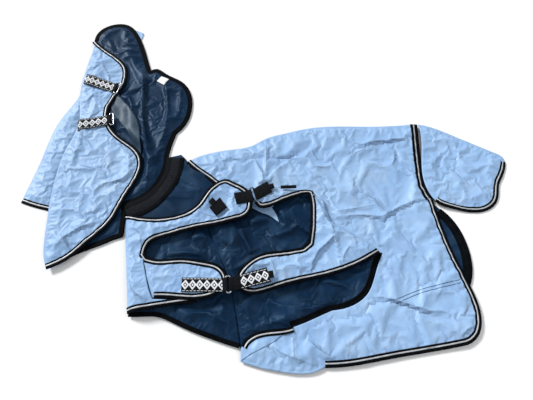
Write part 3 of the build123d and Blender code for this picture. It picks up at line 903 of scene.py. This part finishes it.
LEFT_FOLD = [(-490, -203), (-484, -285), (-470, -370), (-441, -546)]
LEFT_FREE = [
    [(-441, -546), (-340, -527), (-216, -508)],
    [(-404, -350), (-335, -286), (-160, -246), (-50, -192), (-60, -122), (-120, -80), (-175, -83),
     (-240, -172)],
    [(-240, -172), (-300, -208), (-415, -220), (-490, -203)],
]
LEFT_TUCKS = [
    (4.5, 16, 5, [(-445, -440), (-425, -480), (-385, -505)]),
    (4, 20, 8, [(-470, -250), (-425, -290), (-412, -400)]),
    (3.5, 14, 5, [(-250, -190), (-200, -215), (-120, -225)]),
    (3.5, 5, 12, [(-215, -135), (-195, -160), (-190, -200)]),
]
RIGHT_FOLD = [(390, -342), (318, -285), (236, -232), (216, -182), (160, -107)]
RIGHT_FREE = [
    [(390, -342), (295, -395), (155, -436), (10, -475), (-72, -481)],
    [(-84, -412), (-30, -362), (110, -341), (170, -285), (160, -122), (65, -155), (-20, -182), (-34, -166)],
    [(-34, -128), (45, -104), (160, -107)],
]
RIGHT_TUCKS = [
    (10, 26, 5, [(180, -120), (205, -200), (230, -245), (245, -325), (250, -385)]),
    (10, 5, 24, [(230, -245), (230, -295), (185, -340), (160, -385), (150, -415)]),
    (4.5, 14, 4, [(15, -360), (35, -410), (35, -430)]),
    (4.5, 4, 14, [(50, -425), (75, -395), (110, -400), (115, -425)]),
    (4, 16, 5, [(300, -310), (270, -350), (260, -390)]),
]


def flap_height(p, edge):
    held = spots(p, CLOSURES[:1], 100.0)
    z = 39.5 + 3.5 * held - 4.0 * np.exp(-edge / 20.0) * (1 - held)
    return np.minimum(z + (1 - held) * crumpled(p, edge, 37, 1.5, 1.5, 0.5, (110.0, 52.0, 25.0)), 43.0)


def tail_height(p, edge):
    far = from_line(p, [(603, 185), (596, 50), (590, -86), (614, -143)])
    z = 4.5 + 9.0 * (1 - step_up(far / 150)) + 6.5 * step_up(edge / 60)
    z += crumpled(p, edge, 53, 3.4, 2.0, 0.5, (120.0, 58.0, 26.0))
    return np.maximum(z, 3.4)


HOOD_SEAMS = [
    [(-645, 590), (-600, 600), (-560, 605)],
    [(-635, 555), (-590, 564), (-550, 570)],
    [(-625, 525), (-585, 532), (-545, 535)],
    [(-585, 320), (-550, 343), (-520, 370)],
    [(-575, 305), (-540, 328), (-510, 355)],
]
HOOD_TUCKS = [
    (22, 16, 44, [(-520, 470), (-500, 330), (-490, 210), (-455, 60), (-440, -60)]),
    (14, 34, 12, [(-625, 325), (-560, 300), (-520, 200), (-500, 80)]),
    (12, 12, 30, [(-385, 95), (-430, 25), (-475, 5)]),
    (12, 26, 14, [(-420, 430), (-400, 300), (-390, 180), (-410, 90)]),
    (8, 20, 10, [(-350, 380), (-345, 280), (-350, 210)]),
    *((4.5, 9, 3, seam) for seam in HOOD_SEAMS[:3]),
    (7, 14, 6, [(-590, 320), (-550, 345), (-510, 375)]),
]


def hood_most(p):
    return 8.0 + 34.0 * outside_of(p, cover_cut, 45) * step_up((p[:, 1] + 150) / 130)


def hood_far_height(p, edge):
    clear = outside_of(p, cover_cut, 45) * step_up((p[:, 1] + 150) / 130) * step_up(edge / 70)
    folds = 8.0 + 6.0 * swell(p, 120, 61) + 2.0 * facets(p, 75, 63) + 1.5 * tucks(p, HOOD_TUCKS)
    return np.clip(5.2 + clear * folds, 5.0, 42.0)


COVER_TUCKS = [
    (6, 14, 5, [(-610, 80), (-580, 20), (-590, -10), (-570, -45)]),
    (4, 12, 5, [(-580, 125), (-535, 65), (-490, 20)]),
    (5, 5, 16, [(-705, 0), (-625, -20), (-595, -30)]),
    (5.5, 16, 5, [(-620, -115), (-600, -85), (-530, -65), (-495, -20)]),
    (5.5, 18, 5, [(-725, -340), (-670, -270), (-590, -230)]),
    (4.5, 5, 12, [(-715, -270), (-690, -300), (-665, -335)]),
    (4.5, 12, 5, [(-665, -115), (-660, -185), (-630, -225)]),
    (6, 20, 6, [(-755, 330), (-745, 240), (-715, 120), (-735, -20)]),
    (4, 12, 6, [(-700, 500), (-660, 440), (-640, 380)]),
]


def cover_height(p, edge):
    z = 15.5 + 4.5 * step_up(edge / 70) + crumpled(p, edge, 71, 3.4, 2.2, 0.6, (120.0, 56.0, 25.0))
    z += tucks(p, COVER_TUCKS) * step_up(edge / 30)
    calm = 1 - spots(p, at((-640, 365), (-640, 195)), 70.0)
    return np.clip(19.5 + (z - 19.5) * (0.25 + 0.75 * calm), 14.4, 30.0 - 8.5 * (1 - calm))


def crest_height(p, edge):
    z = 3.4 + 5.0 * step_up(edge / 45) + crumpled(p, edge, 83, 2.0, 1.4, 0.4, (120.0, 56.0, 25.0))
    return np.clip(z, 3.0, 11.5)


def corner_height(p, edge):
    return near.height_at(p) + 2.2 + 1.5 * step_up(edge / 18) + 0.7 * facets(p, 30, 91)


def tip_height(p, edge):
    return 1.8 + 3.0 * outside_of(p, hood, 30)


# ---- the pieces ----
def dress(piece, body, slot, *nodes):
    """A piece that stands for CAD nodes and moves with a body; given a pair of bodies, it only keeps its
    place.
    """
    if nodes:
        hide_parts(*nodes)
    if isinstance(body, str):
        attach(piece, body)
    else:
        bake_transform(piece)
    return piece


TAIL_BEND = ("rug", "tail_flap", (0.578, 0.03, 0.0), (0.638, 0.03, 0.0))
HOOD_BEND = ("hood", "hood_near", (-0.752, 0.1, 0.0), (-0.7, 0.1, 0.0))


def two_layers(panel, name, body, lining_up=False, shell_nodes=None, lining_nodes=None):
    """The shell and the lining of a panel. The shell is the upper one, unless lining_up."""
    shell = ("shell", SHELL, [f"{name}_shell"] if shell_nodes is None else shell_nodes)
    lining = ("lining", LINING, [f"{name}_lining"] if lining_nodes is None else lining_nodes)
    below = 0.0
    for kind, mat, nodes in (lining, shell) if lining_up else (shell, lining):
        fine = below == 0 or not isinstance(body, str)
        cloth = panel.cloth(f"{name}_{kind}_cloth", below, CLOTH_THICK, mat, fine)
        dress(cloth, body, f"{kind}_cloth", *nodes)
        below += CLOTH_THICK + LAYER_GAP


def one_cloth(panel, name, body, held, rests_on, *nodes):
    """A corner so small that one cloth stands for its two layers."""
    cloth = dress(panel.cloth(name, 0.0, 1.6, SHELL), body, "shell_cloth", *nodes)


def edge_tapes(panel, name, body, runs, node=None, silver_node=None, width=TAPE_WIDTH, silver=True):
    """Bindings along runs of a panel's outline, with the reflective tape on each."""
    for k, (first, last) in enumerate(runs):
        line = panel.run(first, last)
        tape = binding(f"{name}_binding_{k}", panel, line, TAPE, width)
        dress(tape, body, "binding_tape", *([node] if node and k == 0 else []))
        if silver:
            strip = ribbon(f"{name}_reflective_{k}", panel.height_at, line, SILVER_WIDTH, SILVER, lift=2.1,
                           thick=1.2, start=(width - SILVER_WIDTH) / 2)
            dress(strip, body, "reflective_tape", *([silver_node] if silver_node and k == 0 else []))


def reroute(outline, way):
    """An outline with the stretch between the first and last points of a new way replaced by it."""
    i, j = (int(np.linalg.norm(outline - p, axis=1).argmin()) for p in (way[0], way[-1]))
    kept = np.roll(outline, -j - 1, 0)[: (i - j - 1) % len(outline)]
    return np.concatenate([kept, way])


class Cut:
    """Only the outline of a panel, for the panels that it covers."""

    def __init__(self, outline):
        self.outline = resample(outline, 12.0)


NECK_TONGUE = at((-15, -192), (14, -202), (50, -230), (42, -202), (24, -172), (60, -140), (150, -104))
near_line = reroute(top_loops("near_side_shell")[0], NECK_TONGUE)
near_cut, cover_cut = Cut(near_line), Cut(top_loops("hood_near_shell")[0])
far_line = reroute(top_loops("far_side_lining")[0], at((-290, 0), (-300, 30), (-322, 52), (-345, 45)))
far = Panel(far_line, far_height, seed=1)
two_layers(far, "far_side", "rug", lining_up=True)
soft = (0.022, 12.0, 24)
back_left = Panel("front_lining_left", back_height, seed=3, sim=soft, most=back_most)
two_layers(back_left, "front_back_left", "rug", True, ["front_back_shell"],
           ["front_lining_left"])
back_right = Panel("front_lining_right", back_height, seed=4, sim=soft, most=back_most)
two_layers(back_right, "front_back_right", "rug", True, [], ["front_lining_right"])
near = Panel(near_line, near_height, step=9.0, seed=2, pucker=1.6, sim=(0.028, 14.0, 30), fine=0.12,
             least=near_least,
             folds=NEAR_TUCKS)
two_layers(near, "near_side", "rug")
left = Panel("left_shoulder_shell", lambda p, _: folded_height(p, LEFT_FOLD, 31, LEFT_FREE, LEFT_TUCKS),
             step=7.5, seed=5, pucker=1.2, sim=(0.024, 10.0, 24), fine=0.12, folds=LEFT_TUCKS)
two_layers(left, "left_shoulder", "rug")
flap_line = reroute(top_loops("left_chest_flap_shell")[0],
                    at((-375, -372), (-396, -366), (-407, -350), (-419, -354), (-404, -386)))
flap = Panel(flap_line, flap_height, step=7.0, seed=6, pucker=0.8, sim=(0.015, 10.0, 20), fine=0.1)
two_layers(flap, "left_chest_flap", "rug")
right_line = reroute(top_loops("right_shoulder_shell")[0],
                     at((160, -122), (164, -170), (160, -250), (150, -312), (128, -331), (84, -339),
                        (10, -348)))
right = Panel(right_line, lambda p, _: folded_height(p, RIGHT_FOLD, 41, RIGHT_FREE, RIGHT_TUCKS),
              step=7.5, seed=7, pucker=1.2, sim=(0.032, 10.0, 26), fine=0.12, folds=RIGHT_TUCKS)
two_layers(right, "right_shoulder", "rug")
corner = Panel("corner_flap_shell", corner_height, step=7.0, seed=8)
one_cloth(corner, "folded_corner_cloth", "rug", "folded", "near_side_shell_cloth", "corner_flap_shell")
tail = Panel("tail_flap_shell", tail_height, seed=9, pucker=1.6, sim=(0.028, 10.0, 26), fine=0.12)
two_layers(tail, "tail_flap", TAIL_BEND)
hood_line = reroute(top_loops("hood_far_lining")[0],
                    at((-535, -292), (-499, -280), (-500, -176), (-505, -166)))
hood = Panel(hood_line, hood_far_height, seed=10, sim=(0.02, 14.0, 26), most=hood_most, hold=20.0)
two_layers(hood, "hood_far", "hood", lining_up=True)
cover = Panel("hood_near_shell", cover_height, seed=11, pucker=1.6, sim=(0.03, 10.0, 28), fine=0.12,
              folds=COVER_TUCKS)
two_layers(cover, "hood_near", HOOD_BEND)
crest = Panel("crest_shell", crest_height, seed=12, pucker=0.8, sim=(0.024, 10.0, 22), fine=0.12)
two_layers(crest, "crest", "hood")
tip_line = at((-598, 632), (-568, 602), (-550, 618), (-544, 682), (-592, 708), (-626, 698))
tip = Panel(tip_line, tip_height, step=6.0, seed=13)
one_cloth(tip, "poll_tip_cloth", "hood", "laid", "Floor")

# ---- bindings ----
edge_tapes(near, "near_side", "rug", [((185, -705), (606, -138)), ((-295, 15), (-70, -160))],
           "near_side_binding", "near_side_reflective_tape")
edge_tapes(near, "tail_seam", "rug", [((606, -138), (598, 186))], "tail_seam_tape", width=26.0)
edge_tapes(back_left, "front_back_left", "rug", [((-440, -552), (-80, -648))], "front_back_binding",
           silver=False, width=12.0)
edge_tapes(back_right, "front_back_right", "rug", [((84, -588), (398, -345))], silver=False)
edge_tapes(left, "left_shoulder", "rug", [((-441, -546), (-216, -510)), ((-405, -364), (-490, -203))],
           "left_shoulder_binding", "front_reflective_tape")
edge_tapes(flap, "left_chest_flap", "rug", [((-124, -442), (-408, -349)), ((-357, -499), (-124, -442))],
           "left_chest_flap_binding")
edge_tapes(right, "right_shoulder", "rug", [((-34, -166), (-92, -446)), ((-92, -446), (390, -342))],
           "right_shoulder_binding")
edge_tapes(corner, "corner_flap", "rug", [((88, -586), (-72, -648))], "corner_flap_binding")
edge_tapes(tail, "tail_flap", TAIL_BEND, [((614, -143), (910, 16))], "tail_flap_binding",
           "tail_flap_reflective_tape")
edge_tapes(far, "far_rear", "rug", [((668, -470), (632, -178))], "far_side_binding", width=30.0,
           silver=False)
edge_tapes(hood, "hood_far", "hood", [((-695, -372), (-752, 640))], "hood_far_binding", silver=False,
           width=16.0)
edge_tapes(cover, "hood_near", HOOD_BEND, [((-735, -398), (-744, 628))], "hood_near_binding",
           "hood_near_reflective_tape")
edge_tapes(crest, "crest", "hood", [((-885, -147), (-757, -182))], "crest_binding", width=16.0)

NEAR_SEAMS = [[(420, -505), (510, -470), (650, -435)], [(425, -516), (510, -481), (650, -446)]]
for panel, body, slot, name, seams in ((near, "rug", "shell_cloth", "near_side_seam", NEAR_SEAMS),
                                       (hood, "hood", "lining_cloth", "hood_seam", HOOD_SEAMS)):
    for k, line in enumerate(seams):
        stitches = ribbon(f"{name}_{k}", panel.height_at, smooth_line(at(*line)), 1.8, THREAD, lift=0.35,
                          thick=0.6)
        dress(stitches, body, slot)

# ---- fastening strips, labels and straps ----
NECK_SEAM = [(-372, 40), (-376, -22), (-392, -66), (-420, -108), (-458, -138), (-510, -160)]
neck = smooth_line(at(*NECK_SEAM))
neck_tape = ribbon("withers_binding", far.height_at, neck, 15.0, TAPE, lift=2.2, thick=1.9, start=50.0)
dress(neck_tape, "rug", "binding_tape")
loop_strip = ribbon("withers_loop_strip_pile", far.height_at, neck, 33.0, LOOP_PILE, lift=1.9, thick=1.6,
                    start=17.0)
dress(loop_strip, "rug", "touch_tape", "withers_loop_strip")
hook_strip = ribbon("hood_hook_strip_tape", lambda xy: np.full(len(xy), 7.4), neck, 20.0, TOUCH, lift=0.8,
                    thick=0.8, start=-1.0)
dress(hook_strip, "hood", "touch_tape", "hood_hook_strip")


def band(name, stations, mat, thick=1.6):
    """A flat strap through (left, right) pairs of points, with soft edges."""
    stations = np.array(stations, float)
    middle = stations.mean(1)
    along = np.gradient(middle, axis=0)
    across = stations[:, 1] - stations[:, 0]
    up = np.cross(along, across)
    up *= -1 / np.linalg.norm(up, axis=1)[:, None]
    length = lengths(middle)
    shape = [(0.0, 0.0), (0.03, 0.5), (0.26, 0.56), (0.5, 0.58), (0.74, 0.56), (0.97, 0.5), (1.0, 0.0)]
    shape += [(0.97, -0.5), (0.5, -0.5), (0.03, -0.5)]
    sides = zip(stations, across, up)
    rings = [[left + side * f + n * thick * h for f, h in shape] for (left, _), side, n in sides]
    wide = np.linalg.norm(across, axis=1)
    uvs = [(s * MM, (f - 0.5) * w * MM) for s, w in zip(length, wide) for f, _ in shape]
    return tube(name, [np.array(r) for r in rings], mat, uvs)


def patch(name, corners, z, mat, thick=1.8, steps=8):
    """A flat tab between four corners: the first two are one end, the last two the other."""
    a, b, c, d = at(*corners)
    stations = []
    for t in np.linspace(0, 1, steps):
        pair = [a + (d - a) * t, b + (c - b) * t]
        stations.append([(*p, z + 0.25 * math.sin(7 * t + z)) for p in pair])
    return band(name, stations, mat, thick)


def highest(panel, left, right):
    """The highest points of a panel along each half of the way from left to right."""
    heights = panel.height_at(left + (right - left) * np.linspace(0, 1, 9)[:, None])
    return np.array([heights[:6].max(), heights[3:].max()])


class Closure:
    """Where a wire ring lies: its middle, the height of its bars, and the way that it points."""

    def __init__(self, centre, panel_top, angle):
        self.centre = at(centre)[0]
        self.low = panel_top + 1.8
        self.bar = panel_top + 5.59
        self.turn = math.radians(angle)

    def place(self, side, away, across, z):
        """A point seen from a bar: away from the ring, across the strap, and above the floor."""
        along = side * (6.5 + away)
        x = self.centre[0] + along * math.cos(self.turn) - across * math.sin(self.turn)
        y = self.centre[1] + along * math.sin(self.turn) + across * math.cos(self.turn)
        return np.array((x, y, z))

    def strap(self, name, side, far_corners, rise, mat, half=22.5, under=20.0, plain=12.0, panel=None):
        """A strap from its far end, over a ring's bar, round it and back below. It may lie on a panel."""
        thick = 1.5
        low = self.low + rise
        far_a, far_b = at(*far_corners)
        stations = []
        near_a, near_b = (self.place(side, 13.0, k * half, 0)[:2] for k in (side, -side))
        for t in np.linspace(0, 1, 22):
            pair = [far_a + (near_a - far_a) * t, far_b + (near_b - far_b) * t]
            lift = low + 0.9 + 0.35 * math.sin(9 * t + rise) * (1 - t)
            if panel:
                laid = highest(panel, *pair).max() + 1.4
                lift += (laid - lift) * float(1 - step_up(np.array(1.15 * t)))
            stations.append([(*p, lift) for p in pair])
        radius = 2.95
        path = [(9.0, low + 1.3), (5.5, (low + self.bar + radius) / 2 + 0.6),
                (2.6, self.bar + radius - 0.35)]
        for degrees in range(90, -91, -20):
            path.append((-radius * math.cos(math.radians(degrees)),
                         self.bar + radius * math.sin(math.radians(degrees))))
        path += [(3.0, self.bar - radius + 0.1), (8.0, low - 0.75), (under, low - 0.85)]
        for away, z in path:
            stations.append([self.place(side, away, side * half, z),
                             self.place(side, away, -side * half, z)])
        obj = band(name, stations, mat, thick)
        obj.data.materials.append(TOUCH)
        bar = Vector(self.place(side, 0, 0, self.bar)) * MM
        away = Vector((side * math.cos(self.turn), side * math.sin(self.turn)))
        for poly in obj.data.polygons:
            if (poly.center - bar).xy.dot(away) < plain * MM:
                poly.material_index = 1
        return obj


LOWER = Closure((-118, -459), 43.0, 6.0)
UPPER = Closure((-41, -138), 43.0, 17.0)
HOOD_UPPER = Closure((-604, 356), 22.0, -12.0)
HOOD_LOWER = Closure((-604, 202), 22.0, 10.0)

piece = LOWER.strap("lower_label_strap_webbing", -1, [(-270, -482), (-270, -435)], 0.0, LABEL_STRAP,
                    panel=flap)
dress(piece, "rug", "label_cloth", "lower_label_strap")
piece = UPPER.strap("upper_label_strap_webbing", -1, [(-100, -176), (-112, -130)], 0.0, TOUCH)
dress(piece, "rug", "label_cloth", "upper_label_strap")
piece = LOWER.strap("lower_fastening_strap_webbing", 1, [(5, -402), (20, -452)], 2.8, LABEL_STRAP,
                    under=9.0, plain=34.0)
dress(piece, "lower_strap", "touch_tape", "lower_velcro_strap")
piece = UPPER.strap("upper_fastening_strap_webbing", 1, [(8, -84), (26, -128)], 2.8, TOUCH, under=9.0)
dress(piece, "upper_strap", "touch_tape", "upper_velcro_strap")
piece = HOOD_UPPER.strap("hood_upper_label_strap", -1, [(-752, 384), (-745, 436)], 0.0, LABEL_STRAP,
                         panel=cover)
dress(piece, HOOD_BEND, "label_cloth", "hood_label_straps")
piece = HOOD_LOWER.strap("hood_lower_label_strap", -1, [(-731, 150), (-740, 200)], 0.0, LABEL_STRAP,
                         panel=cover)
dress(piece, HOOD_BEND, "label_cloth")

TABS = [
    ("lower_pull_tab", "lower_strap", [(14, -440), (9, -416), (26, -413), (30, -437)], 48.8, TOUCH, None),
    ("upper_pull_tab", "upper_strap", [(20, -118), (12, -98), (28, -92), (35, -112)], 48.8, TOUCH, None),
    ("lower_strap_base_webbing", "rug", [(-12, -408), (0, -454), (-80, -477), (-89, -432)], 46.0, WEBBING,
     "lower_strap_base"),
    ("upper_strap_base_webbing", "rug", [(4, -86), (20, -128), (-21, -150), (-33, -108)], 46.0, WEBBING,
     "upper_strap_base"),
    ("spare_tab_base_pile", "rug", [(-195, -187), (-160, -148), (-133, -186), (-170, -219)], 44.3, TOUCH,
     "spare_tab_base"),
    ("spare_tab_strap", "spare_tab", [(-195, -187), (-160, -148), (-133, -186), (-170, -219)], 47.0, TOUCH,
     "spare_tab"),
    ("spare_tab_pull", "spare_tab", [(-182, -184), (-170, -165), (-186, -148), (-200, -166)], 47.4, WEBBING,
     None),
    ("front_loop_tab_webbing", "rug", [(56, -100), (56, -113), (112, -111), (112, -98)], 44.2, WEBBING,
     "front_loop_tab"),
]
for name, body, corners, z, mat, node in TABS:
    dress(patch(name, corners, z, mat), body, "touch_tape", *([node] if node else []))

for k, (x, y, angle) in enumerate(((455, -380, 78), (540, -400, 84))):
    turn = math.radians(angle)
    along = 130 * np.array((math.cos(turn), math.sin(turn)))
    side = 25 * np.array((-math.sin(turn), math.cos(turn)))
    corners = (x, y) + np.array([-along - side, -along + side, along + side, along - side])
    surcingle = patch(f"surcingle_webbing_{k}", corners, 6.5, WEBBING, 2.0, 24)
    dress(surcingle, "rug", "webbing", *(["surcingle_webbing"] if k == 0 else []))


def spread(line, count):
    """That many points along a line."""
    t = np.linspace(0, len(line) - 1, count)
    return np.column_stack([np.interp(t, np.arange(len(line)), line[:, k]) for k in (0, 1)])


def laid(name, panel, left, right, count, mat, lift, thick):
    """A strip of thin cloth between two lines of points that follows a panel's surface."""
    left, right = spread(left, count), spread(right, count)
    share = np.linspace(1, 0, 11)
    grid = left[:, None] + (right - left)[:, None] * share[:, None]
    under = panel.height_at(grid.reshape(-1, 2)).reshape(count, 11)
    top = under
    for pick in (np.max, np.max, np.mean, np.mean, np.mean):
        wide = np.pad(top, 1, mode="edge")
        top = pick([wide[i : i + count, j : j + 11] for i in range(3) for j in range(3)], axis=0)
    low = np.maximum(top, under) + lift
    rings, uvs = [], []
    length = lengths((left + right) / 2)
    for row, z, along, wide in zip(grid, low, length, np.linalg.norm(right - left, axis=1)):
        rings.append(np.concatenate([np.column_stack([row, z + thick]), np.column_stack([row, z])[::-1]]))
        uvs += [(along * MM, (f - 0.5) * wide * MM) for f in (*share, *share[::-1])]
    return tube(name, rings, mat, uvs)


label = laid("care_label_satin", hood, at((-452, 405), (-418, 378)), at((-436, 431), (-402, 414)), 9, CARE,
             1.0, 0.5)
dress(label, "hood", "label_cloth", "care_label")

# The neck cover's two sides are joined by cloth that turns round the fold at the mane.
outer = spread(cover.run((-744, 628), (-735, -398)), 90) + (4, 0)
inner = spread(hood.run((-752, 640), (-695, -372)), 90) + (8, 0)
outer = np.column_stack([outer, cover.height_at(outer) - 3.6])
inner = np.column_stack([inner, hood.height_at(inner) + 1.0])
fold = band("neck_fold_cloth", list(zip(outer, inner)), LINING, 1.0)
fold.data.materials.append(SHELL)
for poly in fold.data.polygons:
    poly.material_index = int(poly.normal.z < 0)
dress(fold, "hood", "lining_cloth")

# Painted highlight: a paler strip laid on the lining of the neck cover, where a fold of it catches the
# light.
HIGHLIGHT_LEFT = [(-631, 286), (-606, 236), (-566, 184), (-527, 132), (-497, 72), (-482, 34)]
HIGHLIGHT_RIGHT = [(-600, 330), (-553, 276), (-512, 214), (-487, 154), (-476, 88), (-475, 38)]
highlight_sides = (smooth_line(at(*side)) for side in (HIGHLIGHT_LEFT, HIGHLIGHT_RIGHT))
strip = laid("mane_fold_painted_highlight", hood, *highlight_sides, 44, FOLD_HIGHLIGHT, 1.6, 0.7)
dress(strip, "hood", "lining_cloth")

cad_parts["upper_ring"].data.materials[0] = DARK_WIRE
BRIGHT = ("lower_ring", "hood_upper_ring", "hood_lower_ring", "surcingle_hooks", "surcingle_slides",
          "surcingle_slot_plates")
for node in BRIGHT:
    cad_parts[node].data.materials[0] = METAL

# ---- floor, lights and camera ----
floor = square("Floor", 6000, 0, floor_material())


def light(kind, name, energy, place, **settings):
    """A light that looks at the middle of the floor."""
    data = bpy.data.lights.new(name, kind)
    data.energy = energy
    for key, value in settings.items():
        setattr(data, key, value)
    obj = bpy.data.objects.new(name, data)
    obj.location = place
    obj.rotation_euler = (-Vector(place)).to_track_quat("-Z", "Y").to_euler()
    bpy.context.scene.collection.objects.link(obj)


light("SUN", "Key", 3.5, (-0.72, 0.62, 0.62), angle=math.radians(14.0))
light("AREA", "Fill", 20.0, (2.4, -1.2, 2.8), shape="DISK", size=3.0)

world = bpy.data.worlds.new("Studio")
world.use_nodes = True
background = world.node_tree.nodes["Background"].inputs
background["Color"].default_value = (0.97, 0.98, 1.0, 1.0)
background["Strength"].default_value = 0.5
bpy.context.scene.world = world
bpy.context.scene.view_settings.view_transform = "Standard"

camera_data = bpy.data.cameras.new("Camera")
camera_data.sensor_width = 36.0
camera_data.lens = 420.0 / 533.0 * camera_data.sensor_width  # 420 pixels, in a picture 533 wide
camera = bpy.data.objects.new("Camera", camera_data)
camera.location = (-0.00827, -0.78998, 1.39)
camera.rotation_euler = (math.radians(25.0), 0.0, 0.0)
bpy.context.scene.collection.objects.link(camera)
bpy.context.scene.camera = camera
